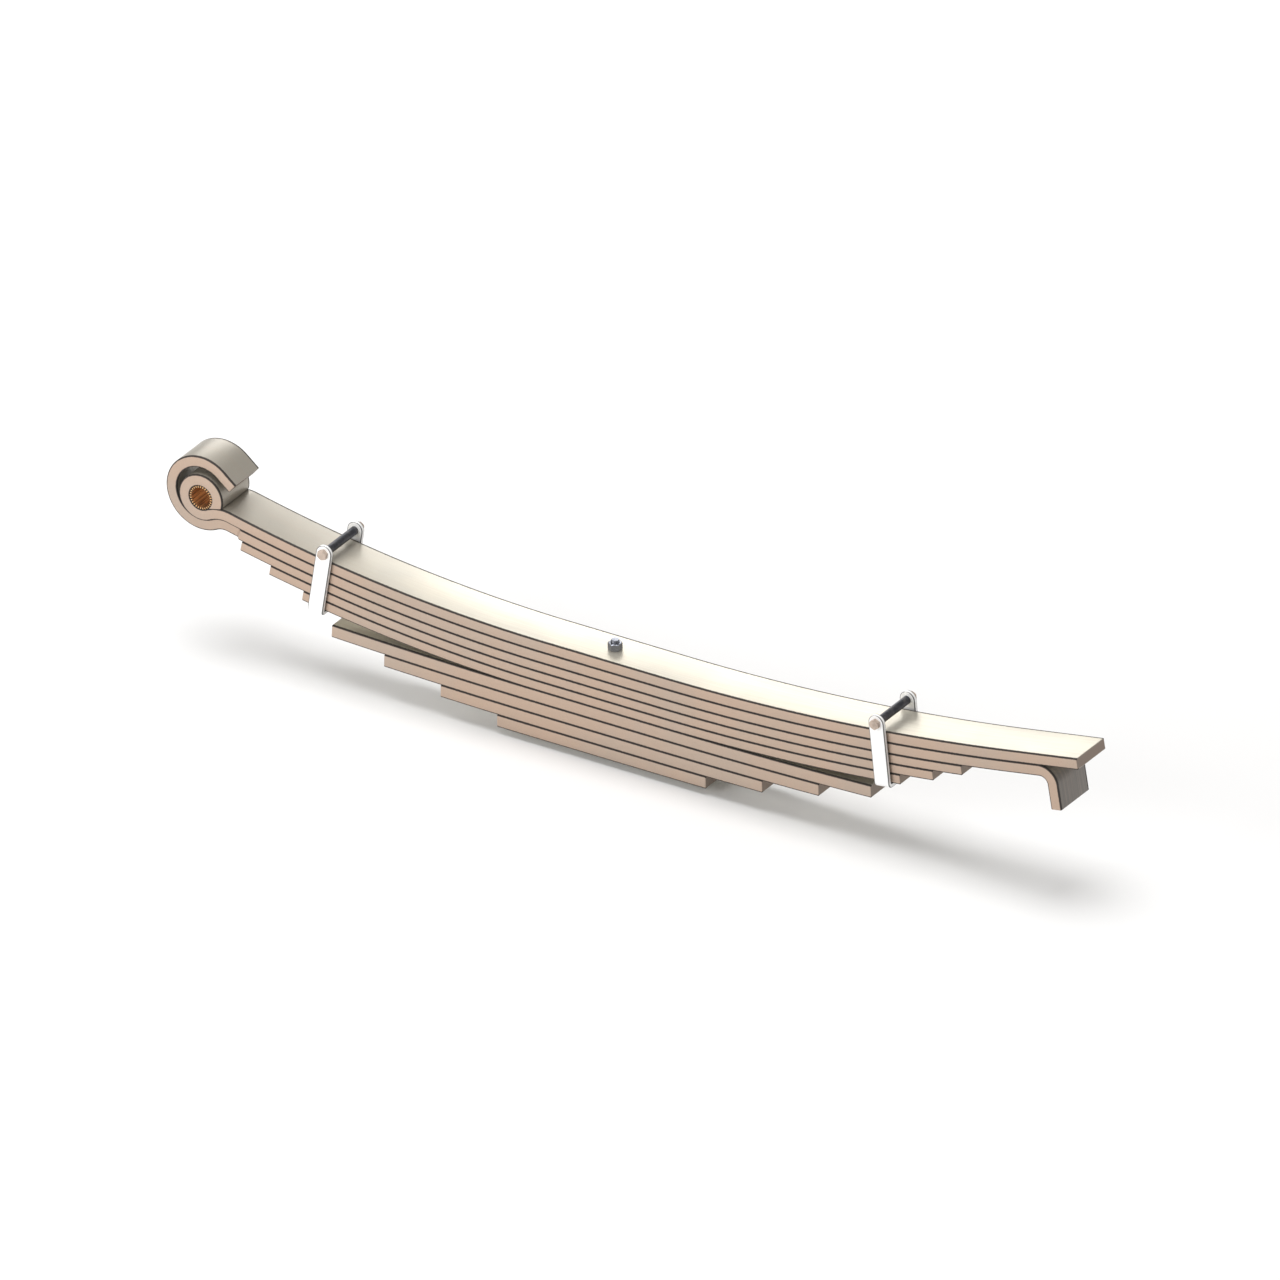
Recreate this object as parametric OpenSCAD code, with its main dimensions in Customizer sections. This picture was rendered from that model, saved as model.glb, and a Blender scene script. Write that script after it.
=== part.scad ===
// Two-stage truck leaf spring: a five-leaf main pack over a four-leaf helper pack.
// The main leaf is rolled into an eye at the front and ends in a plain slipper at the rear.
// The second leaf wraps round the eye and ends in a rebound hook.
// Frame: origin on the centre bolt's axis at the axle seat face, +X to the rear (slipper end),
// +Y across the leaves, +Z up. The spring is drawn free, with no load on it.

/* [Leaf bars] */
// Width of every leaf
leaf_w = 76.2; // [60:0.1:100]
// Thickness of the main leaf and the second leaf
main_t = 17.63; // [12:0.01:22]
// Thickness of the third, fourth and fifth leaves
lower_t = 15.88; // [10:0.01:20]
// Thickness of the four helper leaves
helper_t = 20; // [12:0.1:26]

/* [Leaf lengths] */
// Centre bolt to the centre of the eye, measured level
eye_reach = 685.8; // [560:0.1:830]
// Centre bolt to the slipper end of the main leaf, measured level
slipper_reach = 812.8; // [675:0.1:980]
// How far the third leaf's front end stops short of the eye's centre
third_from_eye = 70.8; // [66:0.1:120]
// How far the third leaf's rear end stops short of the slipper end
third_from_slipper = 197.8; // [120:0.1:240]
// Step from the third leaf's ends to the fourth leaf's ends
fourth_step = 49; // [20:0.5:70]
// Step from the fourth leaf's ends to the fifth leaf's ends
fifth_step = 56; // [20:0.5:70]
// Step from the fifth leaf's ends to the first helper leaf's ends
helper_1_step = 49; // [45:0.5:70]
// Step from the first helper leaf's ends to the second's
helper_2_step = 89.5; // [30:0.5:110]
// Step from the second helper leaf's ends to the third's
helper_3_step = 96.5; // [30:0.5:116]
// Step from the third helper leaf's ends to the fourth's
helper_4_step = 96.5; // [30:0.5:116]

/* [Camber] */
// Half-length of the flat seat on each side of the centre bolt
seat_half = 100; // [60:1:130]
// Radius of the main leaf's upper face in front of the seat
front_r = 2500; // [1900:5:4000]
// Radius of the main leaf's upper face behind the seat
rear_r = 3585; // [2500:5:5000]
// Straight length at the main leaf's slipper end
slipper_straight = 126; // [100:1:200]
// Radius of the first helper leaf's upper face on both sides of the seat
helper_r = 9500; // [6000:50:15000]

/* [Eye and wrap] */
// Bore of the eye bush
bush_id = 31.75; // [20:0.05:45]
// Wall of the eye bush
bush_wall = 3.175; // [2:0.005:6]
// Chamfer on the bush's rims
bush_chamfer = 0.8; // [0.2:0.1:1.5]
// Inside radius of the second leaf's neck, under the eye
neck_r = 25.4; // [15:0.1:40]
// Gap that is left between the rolled end of the eye and the main leaf
eye_end_gap = 0.6; // [0.3:0.1:3]
// How much larger the wrap's inside radius is than the eye's outside radius
wrap_play = 5; // [2:0.5:12]
// Angle that the wrap turns round the eye
wrap_turn = 247; // [180:1:270]
// Straight length at the end of the wrap
wrap_straight = 27; // [0:1:35]
// How much narrower the wrap is than the leaf, on each side
wrap_step = 5; // [0:0.5:10]
// Distance from the eye's centre back to the shoulder where the leaf narrows, measured level
wrap_shoulder = 66.8; // [55:0.1:68]

/* [Rebound hook] */
// Distance from the slipper end of the main leaf to the hook's outer face
hook_setback = 40; // [20:0.5:60]
// Inside radius of the hook's bend
hook_r = 12.7; // [6:0.1:25]
// Drop from the second leaf's upper face to the tip of the hook
hook_drop = 69.85; // [50:0.05:110]

/* [Centre bolt] */
// Diameter of the centre bolt
centre_d = 12.7; // [10:0.1:20]
// Diameter of its round locating head
centre_head_d = 19.05; // [16:0.05:30]
// Height of its locating head
centre_head_h = 11; // [6:0.5:15]
// Width of its nut across the flats
centre_nut_af = 19.05; // [17:0.05:30]
// Height of its nut
centre_nut_h = 11.1; // [8:0.1:18]
// How far the bolt stands out of its nut
centre_tip = 5; // [2:0.5:12]

/* [Rebound clips] */
// How far each clip's middle stands back from the fifth leaf's end, measured level
clip_back = 25; // [20:0.5:26]
// Width of the clip's strap
strap_w = 25.4; // [16:0.1:32]
// Thickness of the clip's strap
strap_t = 6.35; // [4:0.05:8]
// Clearance between the strap's legs and the leaves, on each side
strap_side = 1.6; // [0.8:0.1:4]
// Diameter of the clip bolt
clip_bolt_d = 9.525; // [8:0.005:12]
// Width of the clip bolt's head and nut across the flats
clip_hex_af = 14.3; // [13:0.1:20]
// Height of the clip bolt's head
clip_head_h = 6.1; // [4:0.1:10]
// Height of the clip bolt's nut
clip_nut_h = 8.3; // [6:0.1:12]
// How far the clip bolt stands out of its nut
clip_tip = 3.5; // [1:0.5:10]
// Wall of the spacer tube on the clip bolt
spacer_wall = 1.4; // [1:0.1:3]
// Gap between the spacer tube and the main leaf
spacer_lift = 8; // [3:0.5:20]
// Diameter of the rivet that holds the strap to the fifth leaf
rivet_d = 9.5; // [6:0.1:12]
// Depth of the rivet's countersunk head
rivet_sink = 3.4; // [2:0.1:6]
// Diameter of the rivet's round head under the strap
rivet_head_d = 16; // [12:0.1:22]
// Height of the rivet's round head
rivet_head_h = 5.5; // [3:0.1:7]

/* [Fits] */
// Radial clearance of the bush in the eye, and of a rivet in the fifth leaf
close_fit = 0.05; // [0.02:0.01:0.1]
// Radial clearance of the centre bolt in the leaves
centre_fit = 0.4; // [0.2:0.05:1]
// Radial clearance of a clip bolt in its strap, and of a rivet in its strap
strap_fit = 0.3; // [0.1:0.05:0.8]
// Radial clearance of a bolt in its nut, where the threads are left out
thread_fit = 0.05; // [0.02:0.01:0.2]
// Gap between the strap and the fifth leaf, and from the countersunk head up to the fourth leaf
under_fit = 0.3; // [0.1:0.05:1]

/* [Hidden] */

// Facets of a round, where a mesh is drawn
$fn = 96;
// Extra length of a cutting tool past the face that it cuts
over = 1;
// Size of the round face that a chamfer leaves on a hexagon, as a share of its width across the flats
hex_face = 0.97;

steel = [0.78, 0.69, 0.62];
helper_steel = [0.74, 0.65, 0.58];
strap_steel = [0.93, 0.93, 0.92];
tube_steel = [0.25, 0.25, 0.28];
fastener_steel = [0.45, 0.46, 0.48];
bronze = [0.62, 0.42, 0.22];

// Heights of the packs
main_pack_h = 2 * main_t + 3 * lower_t;
helper_pack_h = 4 * helper_t;
stack_h = main_pack_h + helper_pack_h;

// Depth of each leaf's upper face below the top of its own pack
second_drop = main_t;
third_drop = 2 * main_t;
fourth_drop = third_drop + lower_t;
fifth_drop = fourth_drop + lower_t;

// How far the leaves' ends reach from the centre bolt: [front, rear]
third_reach = [eye_reach - third_from_eye, slipper_reach - third_from_slipper];
fourth_reach = less(third_reach, fourth_step);
fifth_reach = less(fourth_reach, fifth_step);
helper_1_reach = less(fifth_reach, helper_1_step);
helper_2_reach = less(helper_1_reach, helper_2_step);
helper_3_reach = less(helper_2_reach, helper_3_step);
helper_4_reach = less(helper_3_reach, helper_4_step);
clip_reach = less(fifth_reach, clip_back);

// The rear arc stops where the slipper's straight begins
rear_turn = asin((slipper_reach - seat_half) / norm([rear_r, slipper_straight]))
    - atan(slipper_straight / rear_r);

// The eye is centred on the line of the main leaf's upper face. These places are [outwards, up] in
// the front half, which is drawn along +X and mirrored. The neck is the reverse bend under the eye,
// which is tangent to the leaf's arc and to the eye's roll.
bush_r = bush_id / 2 + bush_wall;
eye_r = bush_r + close_fit;
eye_turn = asin((eye_reach - seat_half) / front_r);
eye = [eye_reach, stack_h + front_r * (1 - cos(eye_turn))];
neck_outer_r = neck_r + main_t;
eye_to_neck = neck_outer_r + main_t + eye_r;
arc_to_neck = front_r + main_t + neck_outer_r;
neck_turn = eye_turn - corner(front_r, arc_to_neck, eye_to_neck);
neck = [seat_half, stack_h + front_r] + arc_to_neck * [sin(neck_turn), -cos(neck_turn)];
neck_aim = atan2(eye[1] - neck[1], eye[0] - neck[0]);
wrap_r = eye_r + main_t + wrap_play;
wrap_centre = eye + wrap_play * heading(neck_aim);
wrap_w = leaf_w - 2 * wrap_step;

// Hook: the second leaf's straight before the bend, and its leg after it
hook_outer_r = hook_r + main_t;
hook_straight = slipper_straight - hook_setback - hook_outer_r;
hook_leg = hook_drop - hook_outer_r;

// Clips, in their own frame: origin on the fifth leaf's lower face, +Z across the pack
strap_in = leaf_w / 2 + strap_side;
strap_out = strap_in + strap_t;
spacer_r = clip_bolt_d / 2 + strap_fit + spacer_wall;
clip_bolt_z = main_pack_h + spacer_lift + spacer_r;
clip_bolt_len = 2 * strap_out + clip_nut_h + clip_tip;
centre_bolt_len = stack_h + centre_nut_h + centre_tip;

// Angle steps of the long arcs and of the tight bends. The long arcs of touching leaves share their
// stations, so that the leaves meet face to face.
arc_step = 0.5;
bend_step = 5;
// Smallest angle between a leaf's end and the station before it
least_step = 0.0001;
// Metal that is left in the eye's roll for the round bore to take out
bore_stock = 0.5;
// Angle before the eye at which the neck's upper face gives way to the bore
bore_lead = 2;

function less(pair, step) = [pair[0] - step, pair[1] - step];
function heading(a) = [cos(a), sin(a)];
function reversed(list) = [for (i = [len(list) - 1:-1:0]) list[i]];
// Points along an arc in equal steps. Angles are measured from outwards (+X) towards up (+Z).
function arc(centre, r, from, to) =
    let (n = ceil(abs(to - from) / bend_step))
    [for (i = [0:n]) centre + r * heading(from + (to - from) * i / n)];
// Angle at the far corner of a triangle between the sides a and b, opposite the side c
function corner(a, b, c) = acos((pow(a, 2) + pow(b, 2) - pow(c, 2)) / (2 * a * b));

// Where a leaf ends: [its part of the flat seat, its turn round the arc, its straight past the arc],
// for a level reach measured on its upper face of radius r, where the arc stops at a limit
function leaf_end(reach, r, limit = 80) = [
    min(seat_half, reach),
    reach <= seat_half ? 0 : min(limit, asin((reach - seat_half) / r)),
    max(0, (reach - seat_half - r * sin(limit)) / cos(limit))
];
// Angles at which a face on a long arc has its points
function stations(turn) = concat([for (a = [0:arc_step:turn - least_step]) a], [turn]);
// Points outwards along a face that lies at a depth in a pack, whose top has the height top and the
// radius pack_r
function face(top, pack_r, depth, end) =
    let (
        centre = [end[0], top + pack_r],
        arc_points = [for (a = stations(end[1])) centre + (pack_r + depth) * heading(a - 90)],
        tip = arc_points[len(arc_points) - 1] + end[2] * heading(end[1])
    )
    concat([[0, top - depth]], arc_points, end[2] > 0 ? [tip] : []);

// Half of a leaf, between the outlines of its upper and lower faces in the [outwards, up] plane
module bar(upper, lower) {
    rotate([90, 0, 0])
        linear_extrude(height = leaf_w, center = true)
            polygon(concat(upper, reversed(lower)));
}

// Half of a plain leaf, square at its end
module half_leaf(top, pack_r, drop, t, end) {
    bar(face(top, pack_r, drop, end), face(top, pack_r, drop + t, end));
}

module centre_hole() {
    translate([0, 0, -over]) cylinder(d = centre_d + 2 * centre_fit, h = stack_h + 2 * over);
}

// A plain leaf of the main pack
module main_pack_leaf(drop, t, reach) {
    difference() {
        union() {
            mirror([1, 0, 0])
                half_leaf(stack_h, front_r, drop, t, leaf_end(reach[0], front_r + drop));
            half_leaf(stack_h, rear_r, drop, t, leaf_end(reach[1], rear_r + drop, rear_turn));
        }
        centre_hole();
    }
}

module third_leaf() {
    color(steel) main_pack_leaf(third_drop, lower_t, third_reach);
}

module fourth_leaf() {
    color(steel) main_pack_leaf(fourth_drop, lower_t, fourth_reach);
}

module helper_leaf(number, reach) {
    drop = (number - 1) * helper_t;
    color(helper_steel)
        difference() {
            union() {
                mirror([1, 0, 0])
                    half_leaf(helper_pack_h, helper_r, drop, helper_t, leaf_end(reach[0], helper_r + drop));
                half_leaf(helper_pack_h, helper_r, drop, helper_t, leaf_end(reach[1], helper_r + drop));
            }
            centre_hole();
        }
}

// The front half of the main leaf: seat, arc, neck and rolled eye. The roll's end follows the neck's
// upper face at the eye's end gap.
module eye_half() {
    end = [seat_half, neck_turn, 0];
    roll_from = neck_aim + 180;
    stock_r = eye_r - bore_stock;
    rim_r = eye_r + main_t;
    neck_face_r = neck_outer_r + main_t;
    cut_r = neck_face_r + eye_end_gap;
    upper = concat(
        face(stack_h, front_r, 0, end),
        arc(neck, neck_face_r, 90 + neck_turn, neck_aim + bore_lead),
        arc(eye, stock_r, roll_from, roll_from + 360 - corner(stock_r, eye_to_neck, cut_r)),
        arc(neck, cut_r, neck_aim + corner(cut_r, eye_to_neck, stock_r),
            neck_aim + corner(cut_r, eye_to_neck, rim_r))
    );
    lower = concat(
        face(stack_h, front_r, main_t, end),
        arc(neck, neck_outer_r, 90 + neck_turn, neck_aim),
        arc(eye, rim_r, roll_from, roll_from + 360 - corner(rim_r, eye_to_neck, cut_r))
    );
    difference() {
        bar(upper, lower);
        translate([eye[0], 0, eye[1]])
            rotate([90, 0, 0])
                cylinder(r = eye_r, h = leaf_w + 2 * over, center = true);
    }
}

module main_leaf() {
    color(steel)
        difference() {
            union() {
                mirror([1, 0, 0]) eye_half();
                half_leaf(stack_h, rear_r, 0, main_t, leaf_end(slipper_reach, rear_r, rear_turn));
            }
            centre_hole();
        }
}

// What is cut from each side of the second leaf to narrow it to the wrap, with a sloping shoulder
module wrap_relief() {
    shoulder = eye[0] - wrap_shoulder;
    end = wrap_centre[0] + wrap_r + main_t + over;
    edge = leaf_w / 2 + over;
    for (side = [0, 1])
        mirror([0, side, 0])
            linear_extrude(height = 3 * stack_h)
                polygon([
                    [shoulder - over, edge],
                    [shoulder + wrap_step, wrap_w / 2],
                    [end, wrap_w / 2],
                    [end, edge]
                ]);
}

// The front half of the second leaf: seat, arc, neck and the wrap round the eye
module wrap_half() {
    end = [seat_half, neck_turn, 0];
    wrap_from = neck_aim + 180;
    wrap_to = wrap_from + wrap_turn;
    function wrap_face(depth) =
        let (
            neck_face = arc(neck, neck_outer_r - depth, 90 + neck_turn, neck_aim),
            roll = arc(wrap_centre, wrap_r + depth, wrap_from, wrap_to),
            tip = roll[len(roll) - 1] + wrap_straight * heading(wrap_to + 90)
        )
        concat(face(stack_h, front_r, second_drop + depth, end), neck_face, roll, [tip]);
    difference() {
        bar(wrap_face(0), wrap_face(main_t));
        wrap_relief();
    }
}

// The rear half of the second leaf: seat, arc, straight and rebound hook
module hook_half() {
    end = [seat_half, rear_turn, hook_straight];
    upper = face(stack_h, rear_r, second_drop, end);
    bend = upper[len(upper) - 1] + hook_outer_r * heading(rear_turn - 90);
    leg = hook_leg * heading(rear_turn - 90);
    bar(
        concat(upper, arc(bend, hook_outer_r, rear_turn + 90, rear_turn),
            [bend + hook_outer_r * heading(rear_turn) + leg]),
        concat(face(stack_h, rear_r, second_drop + main_t, end), arc(bend, hook_r, rear_turn + 90, rear_turn),
            [bend + hook_r * heading(rear_turn) + leg])
    );
}

module second_leaf() {
    color(steel)
        difference() {
            union() {
                mirror([1, 0, 0]) wrap_half();
                hook_half();
            }
            centre_hole();
        }
}

// Puts a clip's own frame in its place on the pack: end 0 is the front, end 1 the rear
module at_clip(end) {
    pack_r = end == 0 ? front_r : rear_r;
    under_r = pack_r + main_pack_h;
    mirror([1 - end, 0, 0])
        translate([seat_half, 0, stack_h + pack_r])
            rotate([0, -asin((clip_reach[end] - seat_half) / under_r), 0])
                translate([0, 0, -under_r])
                    children();
}

// Hole for a clip's rivet through the fifth leaf, countersunk from above
module rivet_hole() {
    r = rivet_d / 2 + close_fit;
    translate([0, 0, -over]) cylinder(r = r, h = lower_t + 2 * over);
    translate([0, 0, lower_t - rivet_sink])
        cylinder(r1 = r, r2 = r + rivet_sink + over, h = rivet_sink + over);
}

module fifth_leaf() {
    color(steel)
        difference() {
            main_pack_leaf(fifth_drop, lower_t, fifth_reach);
            for (end = [0, 1])
                at_clip(end) rivet_hole();
        }
}

module eye_bush() {
    half = leaf_w / 2;
    color(bronze)
        translate([-eye[0], 0, eye[1]])
            rotate([90, 0, 0])
                rotate_extrude()
                    polygon([
                        [bush_id / 2, -half],
                        [bush_r - bush_chamfer, -half],
                        [bush_r, bush_chamfer - half],
                        [bush_r, half - bush_chamfer],
                        [bush_r - bush_chamfer, half],
                        [bush_id / 2, half]
                    ]);
}

// A hexagon prism along +Z from z = 0, with its corners turned off at the outer end, and at the
// inner end too where both is true
module hexagon(af, h, both = false) {
    corner_r = af / 2 / cos(30);
    rim_r = corner_r + over;
    face_r = hex_face * af / 2;
    chamfer_h = (rim_r - face_r) * tan(30);
    low = both ? chamfer_h : 0;
    intersection() {
        rotate([0, 0, 30]) cylinder(r = corner_r, h = h, $fn = 6);
        rotate_extrude()
            polygon([
                [0, 0],
                [both ? face_r : rim_r, 0],
                [rim_r, low],
                [rim_r, h - chamfer_h],
                [face_r, h],
                [0, h]
            ]);
    }
}

// A bolt's shank along +Z from z = 0, with a chamfered tip
module shank(d, len) {
    tip = d / 10;
    cylinder(d = d, h = len - tip);
    translate([0, 0, len - tip]) cylinder(d1 = d, d2 = d - 2 * tip, h = tip);
}

module hex_nut(af, h, bore_d) {
    difference() {
        hexagon(af, h, true);
        translate([0, 0, -over]) cylinder(d = bore_d, h = h + 2 * over);
    }
}

module centre_bolt() {
    color(fastener_steel) {
        shank(centre_d, centre_bolt_len);
        translate([0, 0, -centre_head_h]) cylinder(d = centre_head_d, h = centre_head_h);
    }
}

module centre_nut() {
    color(fastener_steel)
        translate([0, 0, stack_h])
            hex_nut(centre_nut_af, centre_nut_h, centre_d + 2 * thread_fit);
}

// A leg of the clip's strap with its bend, on the +Y side: the leg's inside radius at the bend is
// the side clearance, so that the leaf's square corner never touches it
module strap_leg() {
    bend_z = strap_side - under_fit;
    translate([-strap_w / 2, strap_in, bend_z]) cube([strap_w, strap_t, clip_bolt_z - bend_z]);
    translate([0, strap_in, clip_bolt_z])
        rotate([-90, 0, 0])
            rotate([0, 0, 180])
                rotate_extrude(angle = 180)
                    square([strap_w / 2, strap_t]);
    translate([-strap_w / 2, strap_in - strap_side, bend_z])
        rotate([90, 0, 90])
            rotate([0, 0, -90])
                rotate_extrude(angle = 90)
                    translate([strap_side, 0])
                        square([strap_t, strap_w]);
}

module clip_strap(end) {
    floor_half = strap_in - strap_side;
    color(strap_steel)
        at_clip(end)
            difference() {
                union() {
                    strap_leg();
                    mirror([0, 1, 0]) strap_leg();
                    translate([-strap_w / 2, -floor_half, -under_fit - strap_t])
                        cube([strap_w, 2 * floor_half, strap_t]);
                }
                translate([0, 0, clip_bolt_z])
                    rotate([90, 0, 0])
                        cylinder(d = clip_bolt_d + 2 * strap_fit, h = 2 * strap_out + over, center = true);
                translate([0, 0, -under_fit - strap_t - over])
                    cylinder(d = rivet_d + 2 * strap_fit, h = strap_t + 2 * over);
            }
}

module clip_rivet(end) {
    r = rivet_d / 2;
    head_top = -under_fit - strap_t;
    ball_r = (pow(rivet_head_d / 2, 2) + pow(rivet_head_h, 2)) / (2 * rivet_head_h);
    color(fastener_steel)
        at_clip(end) {
            translate([0, 0, head_top]) cylinder(r = r, h = lower_t - rivet_sink - head_top);
            translate([0, 0, lower_t - rivet_sink])
                cylinder(r1 = r, r2 = r + rivet_sink - under_fit, h = rivet_sink - under_fit);
            intersection() {
                translate([0, 0, head_top - rivet_head_h + ball_r]) sphere(r = ball_r);
                translate([0, 0, head_top - rivet_head_h])
                    cylinder(d = rivet_head_d + over, h = rivet_head_h);
            }
        }
}

module clip_spacer(end) {
    color(tube_steel)
        at_clip(end)
            translate([0, 0, clip_bolt_z])
                rotate([90, 0, 0])
                    difference() {
                        cylinder(r = spacer_r, h = 2 * strap_in, center = true);
                        cylinder(r = spacer_r - spacer_wall, h = 2 * strap_in + 2 * over, center = true);
                    }
}

module clip_bolt(end) {
    color(fastener_steel)
        at_clip(end)
            translate([0, -strap_out, clip_bolt_z]) {
                rotate([-90, 0, 0]) shank(clip_bolt_d, clip_bolt_len);
                rotate([90, 0, 0]) hexagon(clip_hex_af, clip_head_h);
            }
}

module clip_nut(end) {
    color(fastener_steel)
        at_clip(end)
            translate([0, strap_out, clip_bolt_z])
                rotate([-90, 0, 0])
                    hex_nut(clip_hex_af, clip_nut_h, clip_bolt_d + 2 * thread_fit);
}

main_leaf();
second_leaf();
third_leaf();
fourth_leaf();
fifth_leaf();
helper_leaf(1, helper_1_reach);  // helper_leaf_1
helper_leaf(2, helper_2_reach);  // helper_leaf_2
helper_leaf(3, helper_3_reach);  // helper_leaf_3
helper_leaf(4, helper_4_reach);  // helper_leaf_4
eye_bush();
centre_bolt();
centre_nut();
clip_strap(0);  // front_clip_strap
clip_rivet(0);  // front_clip_rivet
clip_spacer(0);  // front_clip_spacer
clip_bolt(0);  // front_clip_bolt
clip_nut(0);  // front_clip_nut
clip_strap(1);  // rear_clip_strap
clip_rivet(1);  // rear_clip_rivet
clip_spacer(1);  // rear_clip_spacer
clip_bolt(1);  // rear_clip_bolt
clip_nut(1);  // rear_clip_nut
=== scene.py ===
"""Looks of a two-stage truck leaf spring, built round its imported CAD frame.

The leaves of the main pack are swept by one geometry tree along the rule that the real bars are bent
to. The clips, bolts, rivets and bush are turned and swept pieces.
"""

import math

import bmesh
import bpy
from bpy.props import FloatProperty, FloatVectorProperty, IntProperty, PointerProperty
from mathutils import Matrix, Vector


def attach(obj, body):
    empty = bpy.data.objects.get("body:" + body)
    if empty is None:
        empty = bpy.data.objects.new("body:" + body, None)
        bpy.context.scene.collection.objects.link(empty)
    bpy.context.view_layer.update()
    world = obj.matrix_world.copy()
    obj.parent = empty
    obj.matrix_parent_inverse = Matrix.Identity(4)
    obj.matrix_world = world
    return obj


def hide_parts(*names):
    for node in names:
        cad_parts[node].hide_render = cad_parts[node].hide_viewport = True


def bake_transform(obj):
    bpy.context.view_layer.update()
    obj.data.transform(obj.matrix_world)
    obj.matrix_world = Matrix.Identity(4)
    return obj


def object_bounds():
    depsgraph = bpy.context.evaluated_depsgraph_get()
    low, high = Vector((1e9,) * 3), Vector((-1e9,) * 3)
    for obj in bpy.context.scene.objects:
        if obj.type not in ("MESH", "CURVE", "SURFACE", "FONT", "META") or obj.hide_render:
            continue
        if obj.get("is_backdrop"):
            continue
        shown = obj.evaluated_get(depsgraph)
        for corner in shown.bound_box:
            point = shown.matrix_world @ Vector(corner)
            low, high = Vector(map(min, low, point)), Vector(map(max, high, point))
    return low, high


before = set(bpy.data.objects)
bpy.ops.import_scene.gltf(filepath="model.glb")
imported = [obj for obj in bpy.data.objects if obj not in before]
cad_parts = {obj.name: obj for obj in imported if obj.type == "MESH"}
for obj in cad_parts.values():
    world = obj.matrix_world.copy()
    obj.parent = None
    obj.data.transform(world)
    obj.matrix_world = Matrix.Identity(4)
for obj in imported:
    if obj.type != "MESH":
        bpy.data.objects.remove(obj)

bl_info = {
    "name": "Two-stage leaf spring",
    "version": (1, 0, 0),
    "blender": (4, 5, 0),
    "location": "View3D > Sidebar > Leaf spring",
    "description": "Builds a truck leaf spring with its clips and hardware around a packed CAD frame",
    "category": "Mesh",
}

MM = 0.001
ALONG, ACROSS = (1.0, 0.0, 0.0), (0.0, 1.0, 0.0)
PACK, FRONT, REAR = "leaf_pack", "front_arm", "rear_arm"

# Painted shade on a bar's broad faces: where it starts along the bar, over what length, and how far it gets.
UNSHADED = (0.0, 1.0, 0.0)
EYE_SHADE = (0.25, 0.32, 0.55)
WRAP_SHADE = (0.55, 0.1, 0.55)
HOOK_SHADE_FADE, HOOK_SHADE = 0.02, 1.0

# Dark bands are full up to the first distance from an edge and gone at the second: painted shade along the
# leaves' seams and the straps' edges, dark marks round the bush's rims.
LEAF_SEAM_SHADE = (0.0013, 0.0024)
STRAP_EDGE_SHADE = (0.0008, 0.0016)
BUSH_RIM = (0.0368, 0.0376)
RIM_MARKS = 14.0

HEX_FACE = 0.97
HEX_CHAMFER = math.radians(30)
FLOOR_HALF_SIDE = 24.0
CAMERA_DISTANCE = 14.0


# ---------------------------------------------------------------- settings


def length(name, description, default_mm, low_mm=0.0):
    return FloatProperty(
        name=name,
        description=description,
        default=default_mm * MM,
        min=low_mm * MM,
        unit="LENGTH",
        subtype="DISTANCE",
        precision=5,
    )


def angle(name, description, default_deg):
    return FloatProperty(
        name=name,
        description=description,
        default=math.radians(default_deg),
        unit="ROTATION",
        subtype="ANGLE",
    )


def colour(name, description, default):
    return FloatVectorProperty(
        name=name, description=description, default=default, size=3, min=0.0, max=1.0, subtype="COLOR"
    )


class LeafSettings(bpy.types.PropertyGroup):
    """The bars and how they are bent"""

    width: length("Width", "Width of every leaf", 76.2)
    main_t: length("Main thickness", "Thickness of the main leaf and the second leaf", 17.63)
    lower_t: length("Lower thickness", "Thickness of the third, fourth and fifth leaves", 15.88)
    helper_t: length("Helper thickness", "Thickness of a helper leaf", 20)
    seat: length("Seat", "Half of the flat seat in the middle", 100)
    front_r: length("Front radius", "Radius of the main leaf's upper face in front of the seat", 2500)
    rear_r: length("Rear radius", "Radius of the main leaf's upper face behind the seat", 3585)
    helper_r: length("Helper radius", "Radius of the first helper leaf's upper face", 9500)
    slipper: length("Slipper straight", "Straight length at the main leaf's rear end", 126)
    eye_reach: length("Eye reach", "Centre bolt to the centre of the eye, level", 685.8)
    slipper_reach: length("Slipper reach", "Centre bolt to the slipper end, level", 812.8)
    third_reach: length("Third leaf reach", "Centre bolt to the third leaf's ends, level", 615)
    fourth_reach: length("Fourth leaf reach", "Centre bolt to the fourth leaf's ends, level", 566)
    fifth_reach: length("Fifth leaf reach", "Centre bolt to the fifth leaf's ends, level", 510)
    helper_reach: FloatVectorProperty(
        name="Helper reaches",
        description="Centre bolt to the ends of the helper leaves, from the top one down, level",
        default=(0.461, 0.3715, 0.275, 0.1785),
        size=4,
        unit="LENGTH",
    )
    edge_r: length("Edge radius", "Rounding along the edges of a rolled bar", 1.3)
    edge_steps: IntProperty(
        name="Edge steps", description="Faces in the rounding of an edge", default=5, min=2
    )
    tip_chamfer: length("Tip chamfer", "Chamfer round a sheared end", 0.7)
    arc_step: angle("Arc step", "Turn between two stations on a long arc", 0.25)
    bend_step: angle("Bend step", "Turn between two stations on a tight bend", 4)
    flex_inner: length("Flex start", "Distance from the centre bolt where a front half starts to bend", 131)
    flex_outer: length("Flex end", "Distance from the centre bolt where a front half moves as one", 400)
    rear_flex_inner: length("Rear flex start", "Where a rear half starts to bend", 145)
    rear_flex_outer: length("Rear flex end", "Where a rear half moves as one", 450)


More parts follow.
